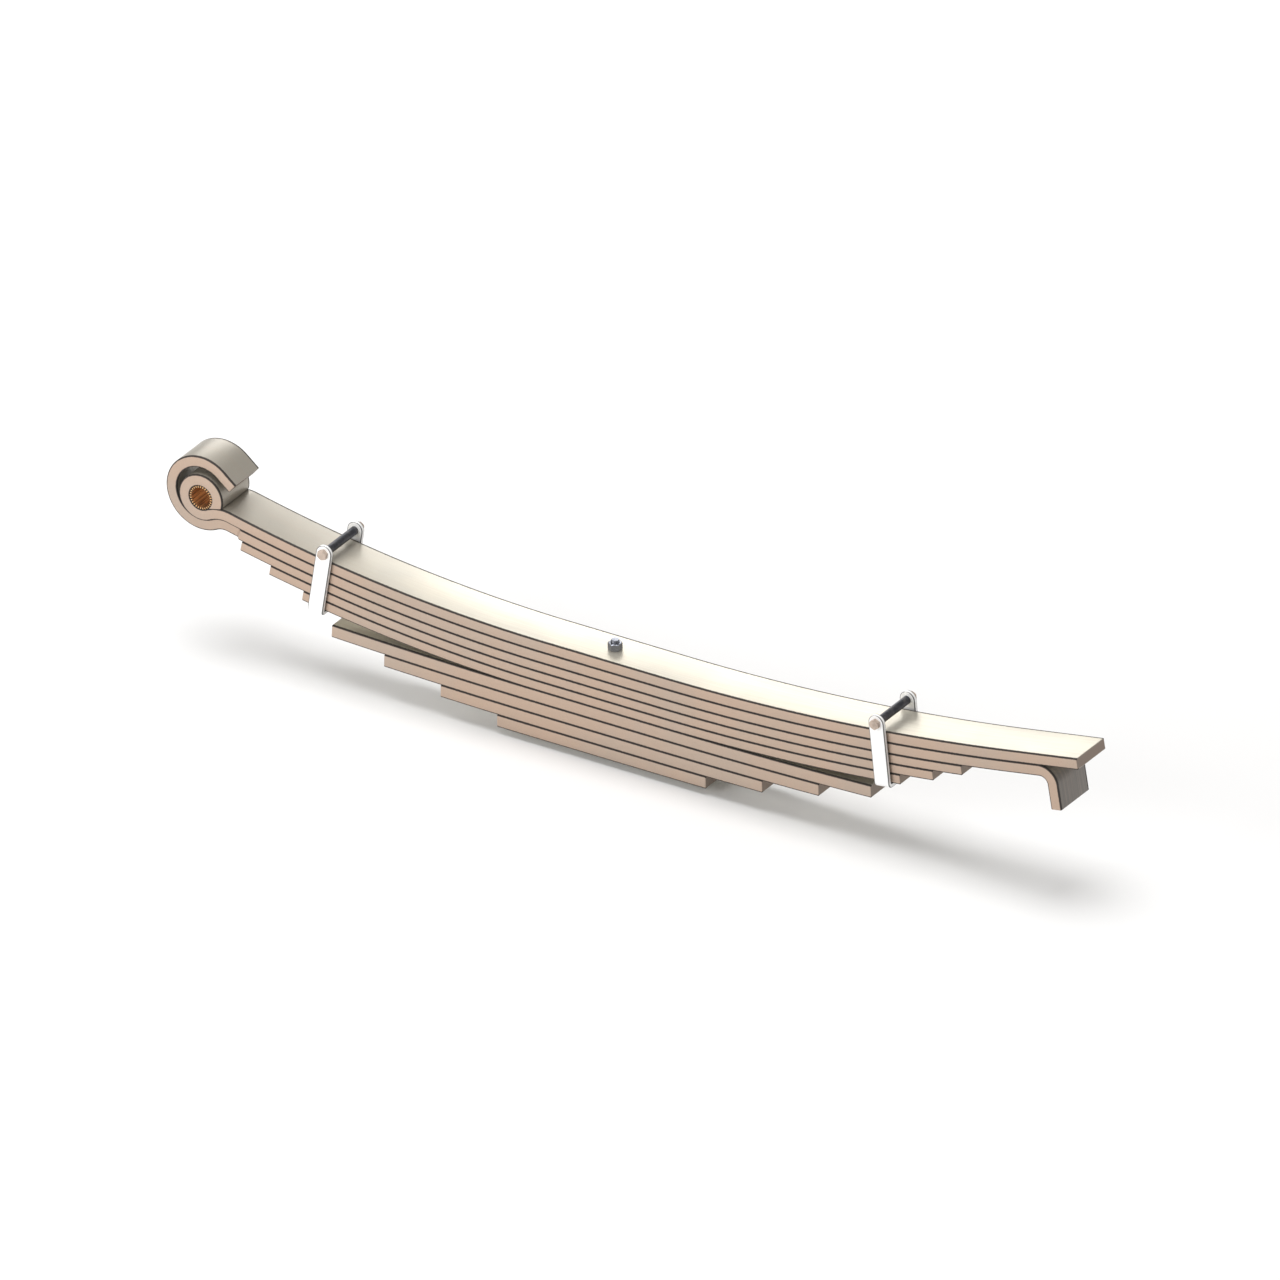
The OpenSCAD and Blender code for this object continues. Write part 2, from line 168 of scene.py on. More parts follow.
class EyeSettings(bpy.types.PropertyGroup):
    """Rolled eye, its bush, the wrap round it and the rebound hook"""

    bore_r: length("Bush bore radius", "Radius of the bush's bore", 15.875)
    bush_wall: length("Bush wall", "Wall of the bush", 3.175)
    bush_fit: length("Bush clearance", "Radial clearance of the bush in the eye", 0.05)
    bush_chamfer: length("Bush chamfer", "Chamfer on the bush's rims", 0.8)
    neck_r: length("Neck radius", "Inside radius of the second leaf's neck", 25.4)
    end_gap: length("Eye end gap", "Gap between the rolled end and the main leaf", 0.6)
    play: length("Wrap play", "How much larger the wrap's inside radius is than the eye's outside", 5)
    wrap_turn: angle("Wrap turn", "Angle that the wrap turns round the eye", 247)
    wrap_straight: length("Wrap straight", "Straight length at the end of the wrap", 27)
    wrap_step: length("Wrap step", "How much narrower the wrap is on each side", 5)
    shoulder: length("Wrap shoulder", "Eye's centre back to where the second leaf narrows", 66.8)
    hook_setback: length("Hook setback", "Slipper end to the hook's outer face", 40)
    hook_r: length("Hook radius", "Inside radius of the hook's bend", 12.7)
    hook_drop: length("Hook drop", "Second leaf's upper face to the tip of the hook", 69.85)


class HardwareSettings(bpy.types.PropertyGroup):
    """Centre bolt, clips, rivets and their threads"""

    centre_r: length("Centre bolt radius", "Radius of the centre bolt", 6.35)
    centre_head_r: length("Centre head radius", "Radius of its round locating head", 9.525)
    centre_head_h: length("Centre head height", "Height of its locating head", 11)
    centre_nut_af: length("Centre nut width", "Width of its nut across the flats", 19.05)
    centre_nut_h: length("Centre nut height", "Height of its nut", 11.1)
    centre_tip: length("Centre tip", "How far the bolt stands out of its nut", 5)
    clip_back: length("Clip setback", "Clip's middle back from the fifth leaf's end", 25)
    strap_w: length("Strap width", "Width of a clip's strap", 25.4)
    strap_t: length("Strap thickness", "Thickness of a clip's strap", 6.35)
    strap_side: length("Strap side gap", "Clearance between a strap's leg and the leaves", 1.6)
    strap_under: length("Strap under gap", "Clearance between a strap and the fifth leaf", 0.3)
    strap_edge: length("Strap edge radius", "Rounding along the edges of a strap", 0.9)
    bolt_r: length("Clip bolt radius", "Radius of a clip bolt", 4.7625)
    hex_af: length("Clip hexagon", "Width of a clip bolt's head and nut across the flats", 14.3)
    head_h: length("Clip head height", "Height of a clip bolt's head", 6.1)
    nut_h: length("Clip nut height", "Height of a clip bolt's nut", 8.3)
    bolt_tip: length("Clip bolt tip", "How far a clip bolt stands out of its nut", 3.5)
    spacer_wall: length("Spacer wall", "Wall of the spacer tube", 1.4)
    spacer_fit: length("Spacer clearance", "Radial clearance of the clip bolt in its tube", 0.3)
    spacer_lift: length("Spacer lift", "Gap between the spacer tube and the main leaf", 8)
    rivet_r: length("Rivet radius", "Radius of a clip rivet", 4.75)
    rivet_head_r: length("Rivet head radius", "Radius of its round head", 8)
    rivet_head_h: length("Rivet head height", "Height of its round head", 5.5)
    centre_pitch: length("Centre thread pitch", "Pitch of the centre bolt's thread", 1.27)
    clip_pitch: length("Clip thread pitch", "Pitch of a clip bolt's thread", 1.0583)
    thread_depth: FloatProperty(
        name="Thread depth",
        description="Depth of a thread as a share of its pitch",
        default=0.61,
        min=0.1,
        max=1.0,
    )


class FinishSettings(bpy.types.PropertyGroup):
    """Colours of the finishes"""

    steel: colour("Spring steel", "Side of a rolled leaf", (0.485, 0.358, 0.275))
    steel_cool: colour("Spring steel, cool", "Greyer patches of its side", (0.45, 0.355, 0.285))
    # Paler broad faces: a painted highlight of the lit tops, on a shot-peened face.
    lit_peened: colour("Peened face", "Broad faces of a leaf, shot peened", (0.70, 0.655, 0.55))
    lit_peened_cool: colour("Peened face, cool", "Greyer patches of a broad face", (0.63, 0.60, 0.52))
    # Painted shade: dark colour of the broad faces towards the eye, the wrap and the hook.
    face_shade: colour("Hot-bent face", "Broad faces where a bar was bent hot", (0.17, 0.155, 0.14))
    # Dark scale colour: specks of scale, and painted shade in the seams and along the edges.
    scale: colour("Mill scale", "Dark scale along the seams and edges", (0.020, 0.015, 0.013))
    # Painted shade on the sheared ends.
    end: colour("Sheared end", "Darker oxide on a sheared end", (0.13, 0.105, 0.09))
    strap: colour("Strap", "Bright plated strap", (0.95, 0.95, 0.94))
    tube: colour("Spacer tube", "Dark oxide on the spacer tube", (0.050, 0.052, 0.062))
    head: colour("Clip bolt", "Clip bolt head and nut", (0.52, 0.42, 0.35))
    nut: colour("Centre nut", "Blued steel of the centre bolt and nut", (0.30, 0.315, 0.36))
    bronze: colour("Bush bronze", "Bronze of the bush", (0.74, 0.43, 0.20))
    bronze_dark: colour("Bush patina", "Dark streaks in the bush", (0.24, 0.11, 0.05))


class StageSettings(bpy.types.PropertyGroup):
    """Floor, lights and camera"""

    overhead: FloatProperty(
        name="Overhead light", description="Strength of the soft light from above", default=2.3
    )
    floor: colour("Floor", "Pale floor", (0.78, 0.78, 0.78))
    view_width: length("View width", "Width of the camera's view", 1857.8)
    azimuth: angle("Azimuth", "Camera's turn round the spring", 32)
    elevation: angle("Elevation", "Camera's height above the horizon", 28.5)
    aim_right: length("Aim right", "Centre of the view, to the right of the origin", 36.1)
    aim_up: length("Aim up", "Centre of the view, above the origin", 155.9)


# ------------------------------------------------------- node trees in Python


class Wire:
    """An output socket that takes part in arithmetic: each operator adds a math node to the tree."""

    def __init__(self, graph, socket):
        self.graph = graph
        self.socket = socket

    def _join(self, operation, other=None, turned=False):
        values = [other, self] if turned else [self, other]
        is_vector = any(isinstance(v, Wire) and v.socket.type == "VECTOR" for v in values)
        if is_vector:
            values = [(v, v, v) if isinstance(v, (int, float)) else v for v in values]
        kind = "ShaderNodeVectorMath" if is_vector else "ShaderNodeMath"
        return self.graph.node(kind, {"operation": operation}, [v for v in values if v is not None])

    def __add__(self, other):
        return self._join("ADD", other)

    def __radd__(self, other):
        return self._join("ADD", other, True)

    def __sub__(self, other):
        return self._join("SUBTRACT", other)

    def __rsub__(self, other):
        return self._join("SUBTRACT", other, True)

    def __mul__(self, other):
        return self._join("MULTIPLY", other)

    def __truediv__(self, other):
        return self._join("DIVIDE", other)

    def __abs__(self):
        return self._join("ABSOLUTE")

    def least(self, other):
        return self._join("MINIMUM", other)

    def most(self, other):
        return self._join("MAXIMUM", other)

    def parts(self):
        """The three numbers of a vector."""
        return [self.graph.node("ShaderNodeSeparateXYZ", inputs=[self], output=i) for i in range(3)]


class Graph:
    """A node tree with one way to add any node."""

    def __init__(self, tree):
        self.tree = tree

    def node(self, kind, settings=None, inputs=None, output=0):
        """Adds a node, sets its settings, then fills its sockets with values or links."""
        made = self.tree.nodes.new(kind)
        for name, value in (settings or {}).items():
            setattr(made, name, value)
        pairs = enumerate(inputs) if isinstance(inputs, (list, tuple)) else (inputs or {}).items()
        for name, value in pairs:
            socket = made.inputs[name]
            if isinstance(value, Wire):
                self.tree.links.new(value.socket, socket)
            else:
                socket.default_value = value
        return Wire(self, made.outputs[output]) if made.outputs else made

    def maths(self, operation, *values):
        return self.node("ShaderNodeMath", {"operation": operation}, values)

    def vector(self, x=0.0, y=0.0, z=0.0):
        return self.node("ShaderNodeCombineXYZ", inputs=[x, y, z])

    def step(self, value, low, high, start=0.0, end=1.0):
        """A smooth step of value from start at low to end at high."""
        return self.node(
            "ShaderNodeMapRange", {"interpolation_type": "SMOOTHSTEP"}, [value, low, high, start, end]
        )


class ShapeTree(Graph):
    """A geometry tree with named inputs."""

    def __init__(self, name, sizes):
        super().__init__(bpy.data.node_groups.new(name, "GeometryNodeTree"))
        face = self.tree.interface
        for label, kind in [("Geometry", "NodeSocketGeometry"), *sizes, ("Material", "NodeSocketMaterial")]:
            face.new_socket(label, in_out="INPUT", socket_type=kind)
        face.new_socket("Geometry", in_out="OUTPUT", socket_type="NodeSocketGeometry")
        self.source = self.tree.nodes.new("NodeGroupInput")

    def size(self, name):
        return Wire(self, self.source.outputs[name])

    def named(self, name, kind="FLOAT_VECTOR"):
        return self.node("GeometryNodeInputNamedAttribute", {"data_type": kind}, {"Name": name})

    def store(self, geometry, name, value, kind="FLOAT_VECTOR"):
        return self.node(
            "GeometryNodeStoreNamedAttribute",
            {"data_type": kind, "domain": "POINT"},
            {"Geometry": geometry, "Name": name, "Value": value},
        )

    def finish(self, geometry, smooth_below):
        """Shades edges below an angle smooth, realizes, gives the material and ends the tree."""
        turn = self.node("GeometryNodeInputMeshEdgeAngle")
        soft = self.node(
            "FunctionNodeCompare", {"data_type": "FLOAT", "operation": "LESS_THAN"}, [turn, smooth_below]
        )
        shaded = self.node(
            "GeometryNodeSetShadeSmooth", {"domain": "EDGE"}, {0: geometry, "Shade Smooth": soft}
        )
        whole = self.node("GeometryNodeRealizeInstances", inputs=[shaded])
        finish = {"Geometry": whole, "Material": self.size("Material")}
        given = self.node("GeometryNodeSetMaterial", inputs=finish)
        end = self.tree.nodes.new("NodeGroupOutput")
        self.tree.links.new(given.socket, end.inputs["Geometry"])
        return self.tree


def bar_tree():
    """Sweeps a rounded bar between two faces: each point of its spine carries the two faces, the bar's
    half width and how far its section is drawn in there."""
    t = ShapeTree(
        "rolled_bar",
        [("Edge Radius", "NodeSocketFloat"), ("Edge Steps", "NodeSocketInt"), ("Side", "NodeSocketVector")],
    )
    steps = t.size("Edge Steps")
    ring = t.node("GeometryNodeCurvePrimitiveCircle", inputs={"Resolution": (steps + 1) * 4, "Radius": 1.0})
    index = t.node("GeometryNodeInputIndex")
    corner = t.maths("FLOOR", index / (steps + 1))
    turn = (corner + (index - corner * (steps + 1)) / steps) * (math.pi / 2)
    middle = (corner + 0.5) * (math.pi / 2)

    def pointing(a, use_sign):
        parts = [t.maths(op, a) for op in ("COSINE", "SINE")]
        if use_sign:
            parts = [t.maths("SIGN", p) for p in parts]
        return t.vector(*parts)

    ring = t.store(ring, "corner", pointing(middle, True))
    ring = t.store(ring, "round", pointing(turn, False))
    spine = t.node("GeometryNodeMeshToCurve", inputs=[t.size("Geometry")])
    curves = {"Curve": spine, "Profile Curve": ring, "Fill Caps": True}
    swept = t.node("GeometryNodeCurveToMesh", inputs=curves)

    upper, lower = t.named("upper"), t.named("lower")
    through = upper - lower
    thickness = t.node("ShaderNodeVectorMath", {"operation": "LENGTH"}, [through], "Value")
    inset = t.named("inset", "FLOAT")
    half_w = t.named("half_width", "FLOAT") - inset
    half_t = thickness / 2 - inset
    radius = t.size("Edge Radius").least(half_w).least(half_t)
    corner_x, corner_y, _ = t.named("corner").parts()
    round_x, round_y, _ = t.named("round").parts()
    u = corner_x * (half_w - radius) + round_x * radius
    v = corner_y * (half_t - radius) + round_y * radius
    unit = t.node("ShaderNodeVectorMath", {"operation": "NORMALIZE"}, [through])
    place = (upper + lower) * 0.5 + t.size("Side") * t.vector(u, u, u) + unit * t.vector(v, v, v)
    placed = t.node("GeometryNodeSetPosition", inputs={"Geometry": swept, "Position": place})
    placed = t.store(placed, "bar", t.vector(t.named("along", "FLOAT"), u, v))
    placed = t.store(placed, "section", t.vector(half_w, half_t, inset))
    return t.finish(placed, math.radians(12))


def thread_tree():
    """A threaded rod up +Z from the origin, with a chamfered tip."""
    t = ShapeTree(
        "thread",
        [(label, "NodeSocketFloat") for label in ("Radius", "Length", "Pitch", "Depth", "Chamfer")],
    )
    radius, long, pitch = t.size("Radius"), t.size("Length"), t.size("Pitch")
    rod = t.node(
        "GeometryNodeMeshCylinder",
        {"fill_type": "NGON"},
        {"Vertices": 40, "Side Segments": long / pitch * 8, "Radius": radius, "Depth": long},
    )
    x, y, z = t.node("GeometryNodeInputPosition").parts()
    height = z + long * 0.5
    turn = t.maths("ARCTAN2", y, x) / (2 * math.pi)
    phase = t.maths("FRACT", height / pitch - turn + 1.0)
    crest = 1.0 - abs(phase * 2.0 - 1.0)
    depth = t.size("Depth")
    cut = radius - depth + depth * (crest * 1.5).least(1.0)
    tip = radius - t.size("Chamfer") + (long - height)
    share = cut.least(tip.most(radius - depth)) / radius
    shaped = t.node(
        "GeometryNodeSetPosition",
        inputs={"Geometry": rod, "Position": t.vector(x * share, y * share, height)},
    )
    return t.finish(shaped, math.radians(50))


# ------------------------------------------------------------------- finishes


class Finish(Graph):
    """A procedural material round one surface shader."""

    def __init__(self, name, metallic, roughness, specular=0.5):
        self.material = bpy.data.materials.new(name)
        self.material.use_nodes = True
        super().__init__(self.material.node_tree)
        self.tree.nodes.clear()
        self.shader = self.tree.nodes.new("ShaderNodeBsdfPrincipled")
        self.shader.inputs["Metallic"].default_value = metallic
        self.shader.inputs["Roughness"].default_value = roughness
        self.shader.inputs["Specular IOR Level"].default_value = specular
        end = self.tree.nodes.new("ShaderNodeOutputMaterial")
        self.tree.links.new(self.shader.outputs[0], end.inputs["Surface"])
        self.place = self.node("ShaderNodeTexCoord", output="Object")

    def feed(self, socket, value):
        self.tree.links.new(value.socket, self.shader.inputs[socket])

    def mix(self, factor, first, second):
        """One colour over another by a factor."""
        first, second = [c if isinstance(c, Wire) else (*c, 1.0) for c in (first, second)]
        return self.node(
            "ShaderNodeMix", {"data_type": "RGBA"}, {0: factor, 6: first, 7: second}, output=2
        )

    def noise(self, place, scale, detail=3.0, rough=0.55, stretch=None):
        if stretch:
            place = self.node("ShaderNodeMapping", inputs={"Vector": place, "Scale": stretch})
        sizes = {"Vector": place, "Scale": scale, "Detail": detail, "Roughness": rough}
        return self.node("ShaderNodeTexNoise", inputs=sizes)

    def attribute(self, name):
        return self.node("ShaderNodeAttribute", {"attribute_name": name}, output="Vector")

    def bump(self, height, distance, strength=0.6):
        sizes = {"Strength": strength, "Distance": distance, "Height": height}
        self.feed("Normal", self.node("ShaderNodeBump", inputs=sizes))


def leaf_steel(look):
    """Rolled and quenched spring steel: paler broad faces, a painted highlight of lit tops on a shot-peened
    face, painted shade on the broad faces towards the eye, the wrap and the hook, streaks along the bar,
    specks of dark scale, painted shade in the seams along every edge and painted shade on the sheared ends."""
    f = Finish("rolled_leaf_steel", metallic=0.5, roughness=0.36)
    # Share of painted shade on the broad faces, stored along each bar.
    broad_shade = f.node("ShaderNodeAttribute", {"attribute_name": "shade_share"}, output="Fac")
    bar, section = f.attribute("bar"), f.attribute("section")
    _, u, v = bar.parts()
    half_w, half_t, inset = section.parts()
    from_edge = (half_w - abs(u)) * 0.6 + (half_t - abs(v))
    sheared = f.step(inset, 0.0002, 0.0006)
    broad = f.step(half_t - abs(v), 0.0003, 0.0010, 1.0, 0.0)
    patches = f.noise(f.place, 7.0, 4.0)
    streaks = f.noise(bar, 1.0, 3.0, stretch=(9.0, 420.0, 420.0))
    grain = f.noise(bar, 900.0, 2.0)
    tone = f.mix(f.step(patches, 0.38, 0.66), look.steel, look.steel_cool)
    # Paler broad faces: a painted highlight of the lit tops, on a shot-peened face.
    lit_peened = f.mix(f.step(patches, 0.36, 0.68), look.lit_peened, look.lit_peened_cool)
    # Painted shade darkens the broad faces by that share.
    tone = f.mix(broad, tone, f.mix(broad_shade, lit_peened, look.face_shade))
    tone = f.mix(f.step(streaks, 0.35, 0.75, 0.0, 0.22), tone, look.steel_cool)
    tone = f.mix(f.step(grain, 0.55, 0.8, 0.0, 0.18), tone, look.scale)
    # Painted shade darkens the sheared ends.
    tone = f.mix(sheared * 0.62, tone, look.end)
    # Painted shade along every edge of a leaf, for the dark seams between leaves.
    ragged = from_edge + (f.noise(bar, 260.0, 2.0) - 0.5) * 0.0010
    edge_shade = f.step(ragged, *LEAF_SEAM_SHADE, 0.98, 0.0)
    f.feed("Base Color", f.mix(edge_shade, tone, look.scale))
    f.feed("Metallic", 0.5 + broad * (0.35 - broad_shade * 0.5) - edge_shade * 0.4 - sheared * 0.3)
    f.feed("Roughness", 0.30 + patches * 0.10 + grain * 0.08 + edge_shade * 0.3 + sheared * 0.2)
    f.bump(grain + streaks * 0.6 + patches * 0.5, 0.00012)
    return f.material


def strap_plate(look):
    """Bright plated strap: a fine spangle, drawn lines along it, grey grime in patches and painted shade in
    dark bands along its edges.
    """
    f = Finish("bright_strap_plate", metallic=0.25, roughness=0.36)
    bar, section = f.attribute("bar"), f.attribute("section")
    _, u, v = bar.parts()
    half_w, half_t, _ = section.parts()
    from_edge = (half_w - abs(u)) + (half_t - abs(v))
    cells = {"Vector": f.place, "Scale": 260.0}
    spangle = f.node("ShaderNodeTexVoronoi", {"feature": "F1"}, cells, "Distance")
    lines = f.noise(bar, 1.0, 2.0, stretch=(30.0, 900.0, 900.0))
    grime = f.noise(f.place, 45.0, 4.0)
    tone = f.mix(spangle * 0.2, look.strap, (0.80, 0.81, 0.82))
    tone = f.mix(f.step(lines, 0.45, 0.8, 0.0, 0.18), tone, (0.55, 0.55, 0.56))
    tone = f.mix(f.step(grime, 0.58, 0.8, 0.0, 0.3), tone, (0.42, 0.38, 0.34))
    # Painted shade in dark bands along every edge of the strap.
    edge_shade = f.step(from_edge, *STRAP_EDGE_SHADE, 0.95, 0.0)
    f.feed("Base Color", f.mix(edge_shade, tone, (0.035, 0.035, 0.04)))
    f.feed("Metallic", 0.25 - edge_shade * 0.2)
    f.feed("Roughness", 0.28 + spangle * 0.18 + grime * 0.14)
    f.bump(lines * 0.6 + spangle * 0.5, 0.00008)
    return f.material


def turned_metal(name, base, dark, metallic, roughness, axis_stretch, wear=0.5):
    """Machined metal for hardware: tool marks round its axis, oil in patches and small dents."""
    f = Finish(name, metallic=metallic, roughness=roughness)
    marks = f.noise(f.place, 1.0, 2.0, stretch=axis_stretch)
    patches = f.noise(f.place, 90.0, 4.0)
    dents = f.noise(f.place, 620.0, 2.0)
    tone = f.mix(f.step(patches, 0.42, 0.72, 0.0, wear), base, dark)
    tone = f.mix(f.step(marks, 0.5, 0.8, 0.0, 0.4 * wear), tone, dark)
    f.feed("Base Color", tone)
    f.feed("Roughness", roughness - 0.06 + patches * 0.2 + dents * 0.06)
    f.bump(marks * 0.6 + dents, 0.00006)
    return f.material


def bush_bronze(look, centre):
    """Bronze bush: dark streaks along the bore and dark marks spaced round its rims."""
    f = Finish("streaked_bronze", metallic=0.75, roughness=0.38)
    x, y, z = (f.place - centre).parts()
    around = f.maths("ARCTAN2", z, x)
    ring = f.vector(around * 6.0, y * 9.0, 0.0)
    streaks = f.noise(ring, 1.6, 4.0, 0.6)
    ticks = abs(f.maths("SINE", around * RIM_MARKS))
    rim = f.step(abs(y), *BUSH_RIM)
    mottle = f.noise(f.place, 150.0, 3.0)
    tone = f.mix(f.step(streaks, 0.42, 0.62, 0.0, 0.9), look.bronze, look.bronze_dark)
    tone = f.mix(f.step(mottle, 0.55, 0.8, 0.0, 0.4), tone, (0.62, 0.36, 0.15))
    rim_tone = f.mix(f.step(ticks, 0.45, 0.75), look.bronze, (0.03, 0.018, 0.012))
    f.feed("Base Color", f.mix(rim, tone, rim_tone))
    f.feed("Roughness", 0.30 + streaks * 0.25)
    f.bump(streaks + mottle * 0.4, 0.0001)
    return f.material


# ---------------------------------------------------------------- mesh makers


def settings():
    scene = bpy.context.scene
    return scene.spring_leaves, scene.spring_eye, scene.spring_hardware, scene.spring_finish


def shown(name, mesh):
    """A new object at the origin with this mesh."""
    piece = bpy.data.objects.new(name, mesh)
    bpy.context.scene.collection.objects.link(piece)
    return piece


def built(name, mesh, tree, sizes):
    """Runs a geometry tree on a mesh and returns the result as a plain, closed, outward-facing piece."""
    piece = shown(name, mesh)
    modifier = piece.modifiers.new("Build", "NODES")
    modifier.node_group = tree
    for item in tree.interface.items_tree:
        if item.in_out == "INPUT" and item.name in sizes:
            modifier[item.identifier] = sizes[item.name]
    view = bpy.context.evaluated_depsgraph_get()
    plain = bpy.data.meshes.new_from_object(piece.evaluated_get(view), depsgraph=view)
    piece.modifiers.remove(modifier)
    piece.data = plain
    plain.name = name
    cleaned(plain)
    return piece


def cleaned(mesh):
    """Closes seams and turns every face outwards."""
    work = bmesh.new()
    work.from_mesh(mesh)
    bmesh.ops.remove_doubles(work, verts=work.verts, dist=1e-7)
    bmesh.ops.recalc_face_normals(work, faces=work.faces)
    work.to_mesh(mesh)
    work.free()


def from_rings(name, rings, material, loop=False):
    """A closed piece from rings of equal counts, each joined to the next."""
    count = len(rings[0])
    faces = []
    spans = list(zip(range(len(rings)), range(1, len(rings))))
    if loop:
        spans.append((len(rings) - 1, 0))
    for low, high in spans:
        for i in range(count):
            j = (i + 1) % count
            faces.append((low * count + i, low * count + j, high * count + j, high * count + i))
    if not loop:
        faces.append(tuple(reversed(range(count))))
        faces.append(tuple(range((len(rings) - 1) * count, len(rings) * count)))
    mesh = bpy.data.meshes.new(name)
    mesh.from_pydata([tuple(p) for ring in rings for p in ring], [], faces)
    mesh.materials.append(material)
    cleaned(mesh)
    shade(mesh, math.radians(28))
    return mesh


def shade(mesh, limit):
    """Smooth shading with sharp edges where the surface turns more than a limit."""
    mesh.polygons.foreach_set("use_smooth", [True] * len(mesh.polygons))
    mesh.set_sharp_from_angle(angle=limit)


def turned(name, profile, material, segments=64, loop=False):
    """A lathe piece round +Z from a profile of (radius, height)."""
    turns = [2 * math.pi * i / segments for i in range(segments)]
    rings = [[Vector((r * math.cos(a), r * math.sin(a), z)) for a in turns] for r, z in profile]
    return from_rings(name, rings, material, loop=loop)


def sleeve_profile(bore, rim, half, bore_lead, rim_lead):
    """Section of a sleeve, chamfered at its bore and at its rim, from the foot of the bore round."""
    foot = [
        (bore, bore_lead - half),
        (bore + bore_lead, -half),
        (rim - rim_lead, -half),
        (rim, rim_lead - half),
    ]
    return foot + [(r, -z) for r, z in reversed(foot)]


def hexagon(name, across, height, material, bore_r=None, both=False):
    """A hexagon up +Z with its corners turned off, as a bolt's head or, with a bore, as a nut."""
    face_r = HEX_FACE * across / 2
    turns = [math.radians(a) for a in range(0, 360, 5)]
    reach = [across / 2 / math.cos((a + math.pi / 6) % (math.pi / 3) - math.pi / 6) for a in turns]
    drop = [(r - face_r) * math.tan(HEX_CHAMFER) for r in reach]

    def ring(radius, z, bend=0.0):
        return [
            Vector((r * math.cos(a), r * math.sin(a), z + bend * d))
            for a, r, d in zip(turns, radius if isinstance(radius, list) else [radius] * len(turns), drop)
        ]

    base = [ring(reach, 0.0, 1.0 if both else 0.0)]
    if both:
        base.insert(0, ring(face_r, 0.0))
    rings = [*base, ring(reach, height, -1.0), ring(face_r, height)]
    if bore_r:
        lead = bore_r * 0.08
        rings = [ring(bore_r, lead), ring(bore_r + lead, 0.0), *rings]
        rings += [ring(bore_r + lead, height), ring(bore_r, height - lead)]
    return from_rings(name, rings, material, loop=bool(bore_r))


# ------------------------------------------------------- the rule of the leaves


def heading(turn):
    """Outwards (x) towards up (y) in the plane through the spring's length."""
    return Vector((math.cos(turn), math.sin(turn)))


def corner(a, b, c):
    """Angle between the sides a and b of a triangle, opposite the side c."""
    return math.acos((a * a + b * b - c * c) / (2 * a * b))


